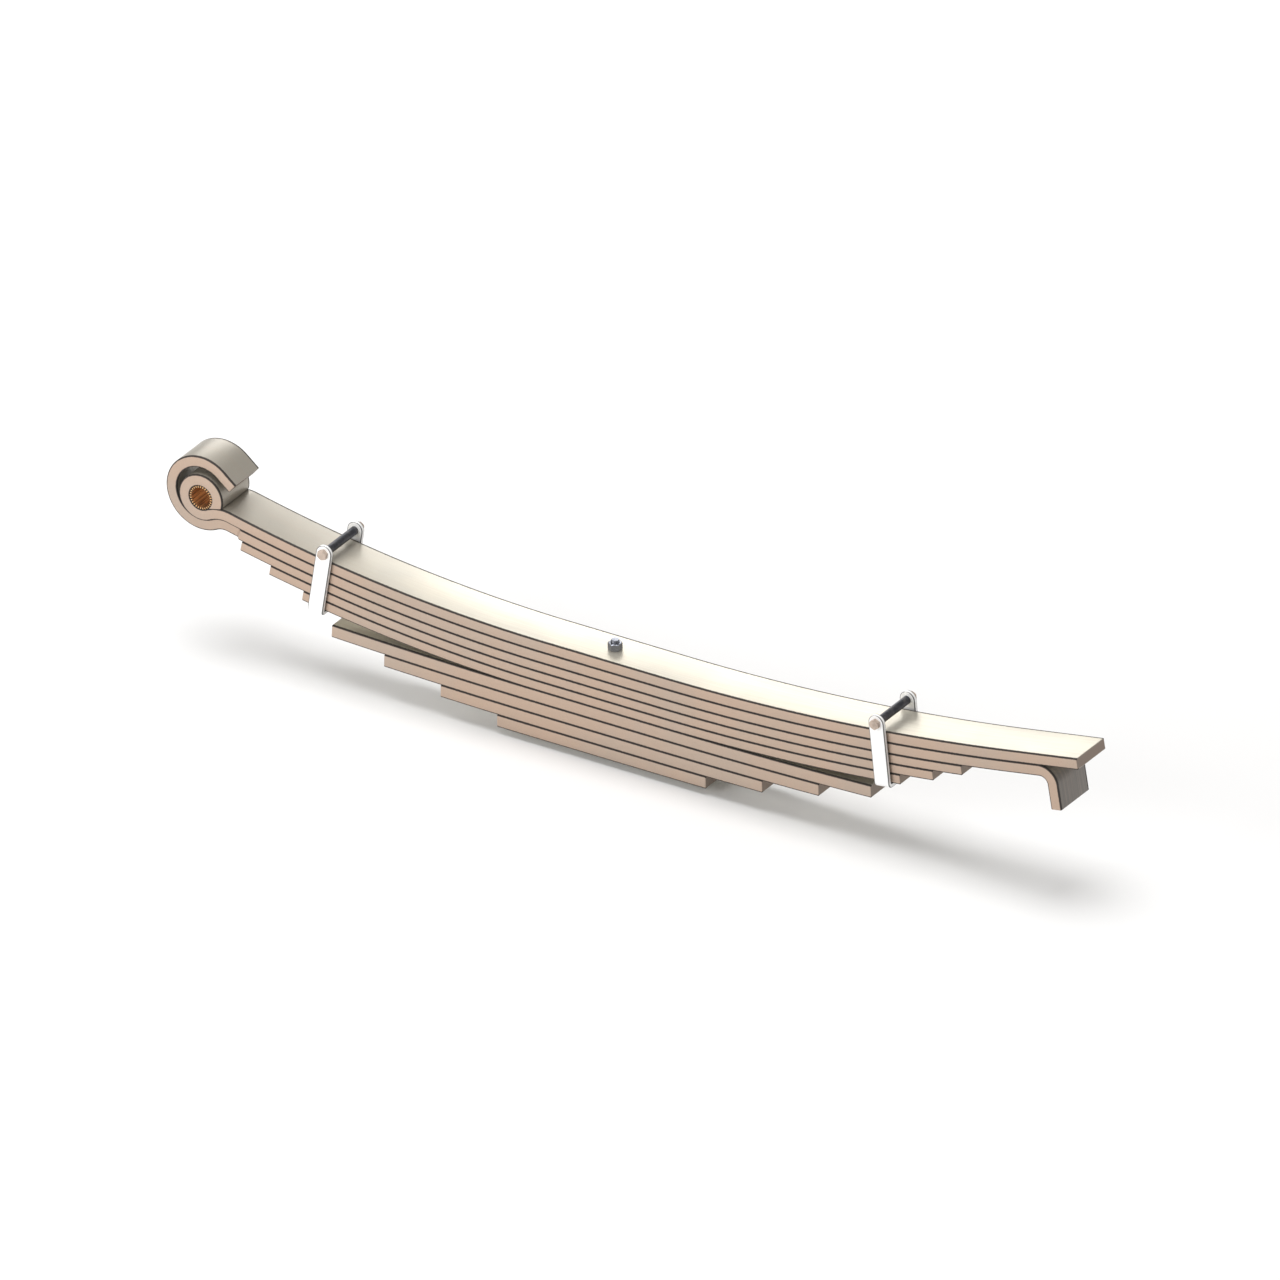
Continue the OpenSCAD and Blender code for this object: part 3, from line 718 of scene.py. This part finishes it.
class Bend:
    """Every place on the spring that its sizes fix, in the [outwards, up] plane."""

    def __init__(self):
        leaf, eye, hardware, _ = settings()
        self.leaf, self.eye_sizes, self.hardware = leaf, eye, hardware
        self.main_pack_h = 2 * leaf.main_t + 3 * leaf.lower_t
        self.helper_pack_h = 4 * leaf.helper_t
        self.top = self.main_pack_h + self.helper_pack_h
        run = leaf.slipper_reach - leaf.seat
        self.rear_turn = math.asin(run / math.hypot(leaf.rear_r, leaf.slipper)) - math.atan(
            leaf.slipper / leaf.rear_r
        )
        self.eye_r = eye.bore_r + eye.bush_wall + eye.bush_fit
        eye_turn = math.asin((leaf.eye_reach - leaf.seat) / leaf.front_r)
        self.eye = Vector((leaf.eye_reach, self.top + leaf.front_r * (1 - math.cos(eye_turn))))
        self.neck_outer = eye.neck_r + leaf.main_t
        self.eye_to_neck = self.neck_outer + leaf.main_t + self.eye_r
        arc_to_neck = leaf.front_r + leaf.main_t + self.neck_outer
        self.neck_turn = eye_turn - corner(leaf.front_r, arc_to_neck, self.eye_to_neck)
        self.neck = Vector((leaf.seat, self.top + leaf.front_r)) + arc_to_neck * Vector(
            (math.sin(self.neck_turn), -math.cos(self.neck_turn))
        )
        outwards = self.eye - self.neck
        self.neck_aim = math.atan2(outwards.y, outwards.x)

    def long_arc(self, depth, thickness, turn, straight=0.0, rear=False, helper=False):
        """Pairs of points on a leaf's two faces: the seat, the arc and a straight after it."""
        leaf = self.leaf
        radius = leaf.helper_r if helper else (leaf.rear_r if rear else leaf.front_r)
        top = self.helper_pack_h if helper else self.top
        centre = Vector((leaf.seat, top + radius))
        pairs = [(Vector((0, top - depth)), Vector((0, top - depth - thickness)))]
        steps = max(1, math.ceil(turn / leaf.arc_step))
        for i in range(steps + 1):
            down = heading(turn * i / steps - math.pi / 2)
            pairs.append((centre + (radius + depth) * down, centre + (radius + depth + thickness) * down))
        if straight:
            ahead = straight * heading(turn)
            pairs += [tuple(p + ahead * share for p in pairs[-1]) for share in (0.34, 0.67, 1.0)]
        return pairs

    def tight(self, centre, upper_r, lower_r, start, upper_end, lower_end=None):
        """Pairs of points round a tight bend, whose two faces may end at different angles."""
        lower_end = upper_end if lower_end is None else lower_end
        steps = math.ceil(abs(upper_end - start) / self.leaf.bend_step)
        pairs = []
        for i in range(1, steps + 1):
            share = i / steps
            pairs.append(
                (
                    centre + upper_r * heading(start + (upper_end - start) * share),
                    centre + lower_r * heading(start + (lower_end - start) * share),
                )
            )
        return pairs

    def arc_turn(self, reach, depth, rear=False, helper=False):
        """Turn round the long arc to a leaf's end."""
        radius = self.leaf.helper_r if helper else (self.leaf.rear_r if rear else self.leaf.front_r)
        return math.asin((reach - self.leaf.seat) / (radius + depth))

    def eye_half(self):
        leaf = self.leaf
        pairs = self.long_arc(0.0, leaf.main_t, self.neck_turn)
        face_r = self.neck_outer + leaf.main_t
        pairs += self.tight(self.neck, face_r, self.neck_outer, math.pi / 2 + self.neck_turn, self.neck_aim)
        start = self.neck_aim + math.pi
        cut_r = face_r + self.eye_sizes.end_gap
        rim_r = self.eye_r + leaf.main_t
        ends = [start + 2 * math.pi - corner(r, self.eye_to_neck, cut_r) for r in (self.eye_r, rim_r)]
        return pairs + self.tight(self.eye, self.eye_r, rim_r, start, *ends)

    def wrap_half(self):
        leaf, eye = self.leaf, self.eye_sizes
        pairs = self.long_arc(leaf.main_t, leaf.main_t, self.neck_turn)
        pairs += self.tight(
            self.neck, self.neck_outer, eye.neck_r, math.pi / 2 + self.neck_turn, self.neck_aim
        )
        start = self.neck_aim + math.pi
        inner = self.eye_r + leaf.main_t + eye.play
        centre = self.eye + eye.play * heading(self.neck_aim)
        end = start + eye.wrap_turn
        pairs += self.tight(centre, inner, inner + leaf.main_t, start, end)
        ahead = eye.wrap_straight * heading(end + math.pi / 2)
        return pairs + [tuple(p + ahead * share for p in pairs[-1]) for share in (0.5, 1.0)]

    def hook_half(self):
        leaf, eye = self.leaf, self.eye_sizes
        outer = eye.hook_r + leaf.main_t
        straight = leaf.slipper - eye.hook_setback - outer
        pairs = self.long_arc(leaf.main_t, leaf.main_t, self.rear_turn, straight, rear=True)
        down = heading(self.rear_turn - math.pi / 2)
        centre = pairs[-1][0] + outer * down
        pairs += self.tight(centre, outer, eye.hook_r, self.rear_turn + math.pi / 2, self.rear_turn)
        leg = (eye.hook_drop - outer) * down
        return pairs + [tuple(p + leg * share for p in pairs[-1]) for share in (0.5, 1.0)]


def shoulder_widths(pairs, half_width, narrow, start):
    """Half widths along the second leaf: full up to the shoulder, then a slope in to the wrap's width."""
    step = half_width - narrow
    out_pairs, widths, past = [pairs[0]], [half_width], False
    for before, after in zip(pairs, pairs[1:]):
        a, b = (sum((p[i].x for i in (0, 1))) / 2 for p in (before, after))
        if not past:
            for mark, width in ((start, half_width), (start + step, narrow)):
                if a < mark <= b:
                    share = (mark - a) / (b - a)
                    out_pairs.append(tuple(before[i].lerp(after[i], share) for i in (0, 1)))
                    widths.append(width)
                    past = width == narrow
        out_pairs.append(after)
        inside = (half_width - (b - start)) if start < b < start + step and not past else half_width
        widths.append(narrow if past else inside)
    return out_pairs, widths


def spine(name, pairs, widths, tip, place, sign=1.0, face_shade=UNSHADED):
    """A chain of edges that carries a bar's faces, widths and tips for the sweep. Painted shade on a bar's
    broad faces has a distance where it starts, the length of its ramp and the share of the shade colour that
    it reaches."""
    pairs, widths = list(pairs), list(widths)
    last, before = pairs[-1], pairs[-2]
    run = sum(((last[i] - before[i]).length for i in (0, 1))) / 2
    pairs.insert(-1, tuple(last[i].lerp(before[i], tip / run) for i in (0, 1)))
    widths.insert(-1, widths[-1])
    insets = [0.0] * (len(pairs) - 1) + [tip]
    middles = [(upper + lower) / 2 for upper, lower in pairs]
    along = [0.0]
    for a, b in zip(middles, middles[1:]):
        along.append(along[-1] + (b - a).length)
    mesh = bpy.data.meshes.new(name)
    mesh.from_pydata([place(m) for m in middles], [(i, i + 1) for i in range(len(pairs) - 1)], [])
    for label, values in (("upper", [p[0] for p in pairs]), ("lower", [p[1] for p in pairs])):
        layer = mesh.attributes.new(label, "FLOAT_VECTOR", "POINT")
        layer.data.foreach_set("vector", [c for p in values for c in place(p)])
    start, fade, share = face_shade
    shade_shares = [share * min(1.0, max(0.0, (a - start) / fade)) for a in along]
    numbers = {"half_width": widths, "inset": insets, "along": [sign * a for a in along], "shade_share": shade_shares}
    for label, values in numbers.items():
        layer = mesh.attributes.new(label, "FLOAT", "POINT")
        layer.data.foreach_set("value", values)
    return mesh


def swept(name, chain, edge_r, edge_steps, side, material):
    """A bar swept along a spine."""
    sizes = {"Edge Radius": edge_r, "Edge Steps": edge_steps, "Side": side, "Material": material}
    return built(name, chain, bpy.data.node_groups["rolled_bar"], sizes)


def leaf_piece(name, pairs, widths=None, front=False, face_shade=UNSHADED):
    """One half of a leaf, swept and closed, on the front or the rear side of the centre bolt."""
    leaf = settings()[0]
    sign = -1.0 if front else 1.0
    widths = widths or [leaf.width / 2] * len(pairs)
    chain = spine(
        name + "_spine", pairs, widths, leaf.tip_chamfer, lambda p: Vector((sign * p.x, 0.0, p.y)), sign, face_shade
    )
    material = bpy.data.materials["rolled_leaf_steel"]
    return swept(name, chain, leaf.edge_r, leaf.edge_steps, ACROSS, material)


def flexing_leaf(node, front_pairs, rear_pairs, front_widths=None, front_shade=UNSHADED, rear_shade=UNSHADED):
    """Both halves of a leaf of the main pack, each baked in place, with the leaf's CAD part hidden."""
    front = leaf_piece(node + "_front", front_pairs, front_widths, True, front_shade)
    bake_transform(front)
    rear = leaf_piece(node + "_rear", rear_pairs, face_shade=rear_shade)
    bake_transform(rear)
    for half in (front, rear):
        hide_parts(node)


def held(piece, body, slot_name, *nodes):
    """Puts a finished piece on its body, for the nodes that it stands for."""
    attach(piece, body)
    if nodes:
        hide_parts(*nodes)
    return piece


def placed(mesh, place, body, slot_name, *nodes):
    """Moves a mesh to its place and holds it there."""
    mesh.transform(place)
    return held(shown(mesh.name, mesh), body, slot_name, *nodes)


# ------------------------------------------------------------------ operators


class SPRING_OT_finishes(bpy.types.Operator):
    """Makes the finishes and the geometry trees that the pieces share"""

    bl_idname = "spring.finishes"
    bl_label = "Finishes"

    def execute(self, context):
        look = settings()[3]
        places = Bend()
        leaf_steel(look)
        strap_plate(look)
        round_y, round_z = (260.0, 30.0, 260.0), (260.0, 260.0, 900.0)
        turned_metal("tube_oxide", look.tube, (0.16, 0.15, 0.15), 0.85, 0.34, round_y, 0.5)
        turned_metal("clip_bolt_steel", look.head, (0.16, 0.13, 0.11), 0.55, 0.40, round_y, 0.45)
        turned_metal("centre_bolt_steel", look.nut, (0.08, 0.083, 0.095), 0.9, 0.2, round_z, 0.4)
        bush_bronze(look, (-places.eye.x, 0.0, places.eye.y))
        bar_tree()
        thread_tree()
        return {"FINISHED"}


class SPRING_OT_main_leaf(bpy.types.Operator):
    """Builds the main leaf: rolled eye at the front, plain slipper at the rear"""

    bl_idname = "spring.main_leaf"
    bl_label = "Main leaf"

    def execute(self, context):
        places = Bend()
        leaf = places.leaf
        rear = places.long_arc(0.0, leaf.main_t, places.rear_turn, leaf.slipper, rear=True)
        flexing_leaf("main_leaf", places.eye_half(), rear, front_shade=EYE_SHADE)
        return {"FINISHED"}


class SPRING_OT_second_leaf(bpy.types.Operator):
    """Builds the second leaf: the wrap round the eye and the rebound hook"""

    bl_idname = "spring.second_leaf"
    bl_label = "Second leaf"

    def execute(self, context):
        places = Bend()
        leaf, eye = places.leaf, places.eye_sizes
        half = leaf.width / 2
        pairs, widths = shoulder_widths(
            places.wrap_half(), half, half - eye.wrap_step, leaf.eye_reach - eye.shoulder
        )
        # Painted shade on the hook's broad faces starts here.
        hook_start = leaf.slipper_reach - eye.hook_setback - 2 * leaf.main_t
        hook_shade_ramp = (hook_start, HOOK_SHADE_FADE, HOOK_SHADE)
        flexing_leaf("second_leaf", pairs, places.hook_half(), widths, WRAP_SHADE, hook_shade_ramp)
        return {"FINISHED"}


class SPRING_OT_lower_leaves(bpy.types.Operator):
    """Builds the third, fourth and fifth leaves with their square ends"""

    bl_idname = "spring.lower_leaves"
    bl_label = "Lower leaves"

    def execute(self, context):
        places = Bend()
        leaf = places.leaf
        reaches = {
            "third_leaf": leaf.third_reach,
            "fourth_leaf": leaf.fourth_reach,
            "fifth_leaf": leaf.fifth_reach,
        }
        depth = 2 * leaf.main_t
        for node, reach in reaches.items():
            halves = [
                places.long_arc(depth, leaf.lower_t, places.arc_turn(reach, depth, rear=rear), rear=rear)
                for rear in (False, True)
            ]
            flexing_leaf(node, *halves)
            depth += leaf.lower_t
        return {"FINISHED"}


class SPRING_OT_helper_leaves(bpy.types.Operator):
    """Builds the flatter helper leaves under the main pack"""

    bl_idname = "spring.helper_leaves"
    bl_label = "Helper leaves"

    def execute(self, context):
        places = Bend()
        leaf = places.leaf
        for number, reach in enumerate(leaf.helper_reach):
            depth = number * leaf.helper_t
            turn = places.arc_turn(reach, depth, helper=True)
            pairs = places.long_arc(depth, leaf.helper_t, turn, helper=True)
            node = f"helper_leaf_{number + 1}"
            for side, front in (("front", True), ("rear", False)):
                half = leaf_piece(f"{node}_{side}", pairs, front=front)
                held(half, PACK, "spring_steel", node)
        return {"FINISHED"}


class SPRING_OT_bush(bpy.types.Operator):
    """Turns the bronze bush for the eye"""

    bl_idname = "spring.bush"
    bl_label = "Bush"

    def execute(self, context):
        places = Bend()
        eye, half = places.eye_sizes, places.leaf.width / 2
        bore, rim, lead = eye.bore_r, eye.bore_r + eye.bush_wall, eye.bush_chamfer
        profile = sleeve_profile(bore, rim, half, lead / 2, lead)
        mesh = turned("eye_bush_turned", profile, bpy.data.materials["streaked_bronze"], 96, loop=True)
        in_eye = Matrix.Translation((-places.eye.x, 0, places.eye.y)) @ Matrix.Rotation(math.pi / 2, 4, "X")
        placed(mesh, in_eye, FRONT, "bush_bronze", "eye_bush")
        return {"FINISHED"}


def threaded_tip(name, radius, run, pitch, material, place):
    """A threaded end placed on a bolt, whose shank is drawn below the thread's root there."""
    depth = pitch * settings()[2].thread_depth
    seed = bpy.data.meshes.new(name)
    sizes = {"Radius": radius, "Length": run, "Pitch": pitch, "Depth": depth, "Chamfer": depth}
    sizes["Material"] = material
    piece = built(name, seed, bpy.data.node_groups["thread"], sizes)
    piece.data.transform(place)
    return piece


def shank_profile(radius, root_r, plain, total):
    """A bolt's plain shank, then its core under the thread."""
    return [(radius, 0.0), (radius, plain), (root_r, plain + (radius - root_r)), (root_r, total)]


class SPRING_OT_centre_bolt(bpy.types.Operator):
    """Builds the centre bolt with its round locating head, thread and nut"""

    bl_idname = "spring.centre_bolt"
    bl_label = "Centre bolt"

    def execute(self, context):
        places = Bend()
        h = places.hardware
        steel = bpy.data.materials["centre_bolt_steel"]
        total = places.top + h.centre_nut_h + h.centre_tip
        depth = h.centre_pitch * h.thread_depth
        run = h.centre_nut_h + h.centre_tip + 4 * h.centre_pitch
        lead = h.centre_head_r * 0.1
        profile = [
            (h.centre_head_r - lead, -h.centre_head_h),
            (h.centre_head_r, lead - h.centre_head_h),
            (h.centre_head_r, -lead * 0.3),
            (h.centre_head_r - lead * 0.3, 0.0),
            *shank_profile(h.centre_r, h.centre_r - depth * 1.1, total - run, total - depth),
        ]
        mesh = turned("centre_bolt_turned", profile, steel)
        held(shown("centre_bolt_turned", mesh), PACK, "fastener_steel", "centre_bolt")
        place = Matrix.Translation((0, 0, total - run))
        thread = threaded_tip("centre_bolt_thread", h.centre_r, run, h.centre_pitch, steel, place)
        held(thread, PACK, "fastener_steel", "centre_bolt")
        nut = hexagon("centre_nut_hex", h.centre_nut_af, h.centre_nut_h, steel, h.centre_r * 1.008, both=True)
        placed(nut, Matrix.Translation((0, 0, places.top)), PACK, "fastener_steel", "centre_nut")
        return {"FINISHED"}


def clip_place(places, front):
    """Matrix that puts a clip's own frame, with its origin under the fifth leaf, on the pack."""
    leaf, h = places.leaf, places.hardware
    pack_r = leaf.front_r if front else leaf.rear_r
    under_r = pack_r + places.main_pack_h
    turn = math.asin((leaf.fifth_reach - h.clip_back - leaf.seat) / under_r)
    sign = -1.0 if front else 1.0
    origin = Vector(
        (sign * (leaf.seat + under_r * math.sin(turn)), 0.0, places.top + pack_r - under_r * math.cos(turn))
    )
    return Matrix.Translation(origin) @ Matrix.Rotation(-sign * turn, 4, "Y")


def strap_pairs(places, bolt_z):
    """Pairs on the outer and inner faces of a strap in its [across, up] plane, from one round top down,
    under the fifth leaf and up to the other, with the half widths that make the tops round."""
    h, leaf = places.hardware, places.leaf
    inner = leaf.width / 2 + h.strap_side
    outer = inner + h.strap_t
    half = h.strap_w / 2
    bend = Vector((inner - h.strap_side, h.strap_side - h.strap_under))
    low = bend.y - h.strap_side
    leg, widths = [], []
    for degrees in (89, 87, 84, 80, 74, 66, 58, 48, 38, 28, 18, 9, 0):
        z = bolt_z + half * math.sin(math.radians(degrees))
        leg.append((Vector((outer, z)), Vector((inner, z))))
        widths.append(half * math.cos(math.radians(degrees)))
    for share in (0.25, 0.5, 0.75, 1.0):
        z = bolt_z + (bend.y - bolt_z) * share
        leg.append((Vector((outer, z)), Vector((inner, z))))
    for degrees in (-15, -30, -45, -60, -75, -90):
        way = heading(math.radians(degrees))
        leg.append((bend + (h.strap_side + h.strap_t) * way, bend + h.strap_side * way))
    leg.append((Vector((bend.x / 2, low - h.strap_t)), Vector((bend.x / 2, low))))
    widths += [half] * (len(leg) - len(widths))
    other = [tuple(Vector((-p.x, p.y)) for p in pair) for pair in reversed(leg)]
    middle = [(Vector((0, low - h.strap_t)), Vector((0, low)))]
    return leg + middle + other, widths + [half] + widths[::-1]


class SPRING_OT_clips(bpy.types.Operator):
    """Builds both rebound clips: strap, rivet, spacer tube, bolt and nut"""

    bl_idname = "spring.clips"
    bl_label = "Rebound clips"

    def execute(self, context):
        places = Bend()
        for side, body in (("front", FRONT), ("rear", REAR)):
            self.build(places, side, body, clip_place(places, side == "front"))
        return {"FINISHED"}

    def build(self, places, side, body, place):
        h, leaf = places.hardware, places.leaf
        look = bpy.data.materials
        spacer_r = h.bolt_r + h.spacer_fit + h.spacer_wall
        bolt_z = places.main_pack_h + h.spacer_lift + spacer_r
        inner = leaf.width / 2 + h.strap_side
        outer = inner + h.strap_t
        pairs, widths = strap_pairs(places, bolt_z)
        chain = spine(side + "_strap_spine", pairs, widths, h.strap_edge / 9, lambda p: Vector((0, p.x, p.y)))
        plate = look["bright_strap_plate"]
        strap = swept(f"{side}_clip_strap_bent", chain, h.strap_edge, 4, ALONG, plate)
        strap.data.transform(place)
        held(strap, body, "strap_steel", f"{side}_clip_strap")

        across = place @ Matrix.Translation((0, 0, bolt_z)) @ Matrix.Rotation(-math.pi / 2, 4, "X")
        self.spacer(h, side, body, spacer_r, inner, look["tube_oxide"], across)
        self.bolt(h, side, body, outer, look["clip_bolt_steel"], across)
        self.rivet(h, side, body, leaf, look["clip_bolt_steel"], place)

    def spacer(self, h, side, body, spacer_r, inner, oxide, across):
        bore = spacer_r - h.spacer_wall
        lead = h.spacer_wall * 0.25
        profile = sleeve_profile(bore, spacer_r, inner, lead, lead)
        mesh = turned(f"{side}_clip_spacer_tube", profile, oxide, 48, loop=True)
        placed(mesh, across, body, "tube_steel", f"{side}_clip_spacer")

    def bolt(self, h, side, body, outer, steel, across):
        total = 2 * outer + h.nut_h + h.bolt_tip
        depth = h.clip_pitch * h.thread_depth
        run = h.nut_h + h.bolt_tip + 2 * h.clip_pitch
        start = across @ Matrix.Translation((0, 0, -outer))
        profile = shank_profile(h.bolt_r, h.bolt_r - depth * 1.1, total - run, total - depth)
        shank = turned(f"{side}_clip_bolt_shank", profile, steel, 48)
        placed(shank, start, body, "fastener_steel", f"{side}_clip_bolt")
        head = hexagon(f"{side}_clip_bolt_head", h.hex_af, h.head_h, steel)
        turned_over = start @ Matrix.Rotation(math.pi, 4, "X")
        placed(head, turned_over, body, "fastener_steel", f"{side}_clip_bolt")
        tip = start @ Matrix.Translation((0, 0, total - run))
        thread = threaded_tip(f"{side}_clip_bolt_thread", h.bolt_r, run, h.clip_pitch, steel, tip)
        held(thread, body, "fastener_steel", f"{side}_clip_bolt")
        nut = hexagon(f"{side}_clip_nut_hex", h.hex_af, h.nut_h, steel, h.bolt_r * 1.01, both=True)
        seat = across @ Matrix.Translation((0, 0, outer))
        placed(nut, seat, body, "fastener_steel", f"{side}_clip_nut")

    def rivet(self, h, side, body, leaf, steel, place):
        under = -h.strap_under - h.strap_t
        ball = (h.rivet_head_r**2 + h.rivet_head_h**2) / (2 * h.rivet_head_h)
        rim = math.asin(min(1.0, h.rivet_head_r / ball))
        dome = [rim * share for share in (0.08, 0.25, 0.42, 0.59, 0.76, 0.92, 1.0)]
        profile = [
            (ball * math.sin(a), under - h.rivet_head_h + ball * (1 - math.cos(a))) for a in dome
        ]
        profile += [(h.rivet_r, under), (h.rivet_r, leaf.lower_t / 2)]
        mesh = turned(f"{side}_clip_rivet_set", profile, steel, 48)
        placed(mesh, place, body, "fastener_steel", f"{side}_clip_rivet")


class SPRING_OT_stage(bpy.types.Operator):
    """Makes the floor, the soft lights and the camera"""

    bl_idname = "spring.stage"
    bl_label = "Stage"

    def execute(self, context):
        stage = context.scene.spring_stage
        self.floor(stage)
        self.softbox("back_softbox", (-1.67, 2.22, 1.12), 1.4, 17)
        self.softbox("front_softbox", (-1.1, -3.0, 1.3), 1.6, 56)
        overhead = bpy.data.lights.new("overhead_dome", "SUN")
        overhead.energy, overhead.angle = stage.overhead, math.radians(40)
        self.aimed("overhead_dome", overhead, (-0.5, 0.0, 4.2))
        world = bpy.data.worlds.new("studio")
        world.use_nodes = True
        back = world.node_tree.nodes["Background"]
        back.inputs["Color"].default_value = (1.0, 0.985, 0.965, 1.0)
        back.inputs["Strength"].default_value = 0.45
        context.scene.world = world
        context.scene.view_settings.view_transform = "Standard"
        self.camera(stage)
        return {"FINISHED"}

    def floor(self, stage):
        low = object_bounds()[0].z
        mesh = bpy.data.meshes.new("floor")
        side = FLOOR_HALF_SIDE
        corners = [(-side, -side, low), (side, -side, low), (side, side, low), (-side, side, low)]
        mesh.from_pydata(corners, [], [(0, 1, 2, 3)])
        f = Finish("floor_paper", metallic=0.0, roughness=0.9, specular=0.1)
        f.feed("Base Color", f.mix(f.noise(f.place, 3.0) * 0.1, stage.floor, (0.74, 0.74, 0.74)))
        mesh.materials.append(f.material)
        shown("floor", mesh)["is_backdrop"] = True

    def softbox(self, name, place, side, power):
        lamp = bpy.data.lights.new(name, "AREA")
        lamp.shape, lamp.size, lamp.energy = "SQUARE", side, power
        self.aimed(name, lamp, place)

    def aimed(self, name, lamp, place):
        lamp_object = bpy.data.objects.new(name, lamp)
        lamp_object.location = place
        lamp_object.rotation_euler = (-Vector(place)).to_track_quat("-Z", "Y").to_euler()
        bpy.context.scene.collection.objects.link(lamp_object)

    def camera(self, stage):
        lens = bpy.data.cameras.new("camera")
        lens.type = "ORTHO"
        lens.ortho_scale = stage.view_width
        lens.clip_start, lens.clip_end = 0.1, 50.0
        a, e = stage.azimuth, stage.elevation
        right = Vector((math.cos(a), math.sin(a), 0.0))
        back = Vector((math.sin(a) * math.cos(e), -math.cos(a) * math.cos(e), math.sin(e)))
        up = back.cross(right)
        camera = bpy.data.objects.new("camera", lens)
        camera.location = right * stage.aim_right + up * stage.aim_up + back * CAMERA_DISTANCE
        camera.rotation_euler = (-back).to_track_quat("-Z", "Y").to_euler()
        bpy.context.scene.collection.objects.link(camera)
        bpy.context.scene.camera = camera


class SPRING_PT_panel(bpy.types.Panel):
    """Lists a button for each of the spring's builders"""

    bl_idname = "SPRING_PT_panel"
    bl_label = "Leaf spring"
    bl_space_type = "VIEW_3D"
    bl_region_type = "UI"
    bl_category = "Leaf spring"

    def draw(self, context):
        for operator in BUILDERS:
            self.layout.operator(operator.bl_idname, text=operator.bl_label)


BUILDERS = (
    SPRING_OT_finishes,
    SPRING_OT_main_leaf,
    SPRING_OT_second_leaf,
    SPRING_OT_lower_leaves,
    SPRING_OT_helper_leaves,
    SPRING_OT_bush,
    SPRING_OT_centre_bolt,
    SPRING_OT_clips,
    SPRING_OT_stage,
)
GROUPS = {
    "spring_leaves": LeafSettings,
    "spring_eye": EyeSettings,
    "spring_hardware": HardwareSettings,
    "spring_finish": FinishSettings,
    "spring_stage": StageSettings,
}


def register():
    for cls in (*GROUPS.values(), *BUILDERS, SPRING_PT_panel):
        bpy.utils.register_class(cls)
    for name, group in GROUPS.items():
        setattr(bpy.types.Scene, name, PointerProperty(type=group))


def unregister():
    for name in GROUPS:
        delattr(bpy.types.Scene, name)
    for cls in (SPRING_PT_panel, *reversed(BUILDERS), *reversed(list(GROUPS.values()))):
        bpy.utils.unregister_class(cls)


def main():
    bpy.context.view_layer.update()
    register()
    for operator in BUILDERS:
        family, action = operator.bl_idname.split(".")
        getattr(getattr(bpy.ops, family), action)()


if __name__ == "__main__":
    main()
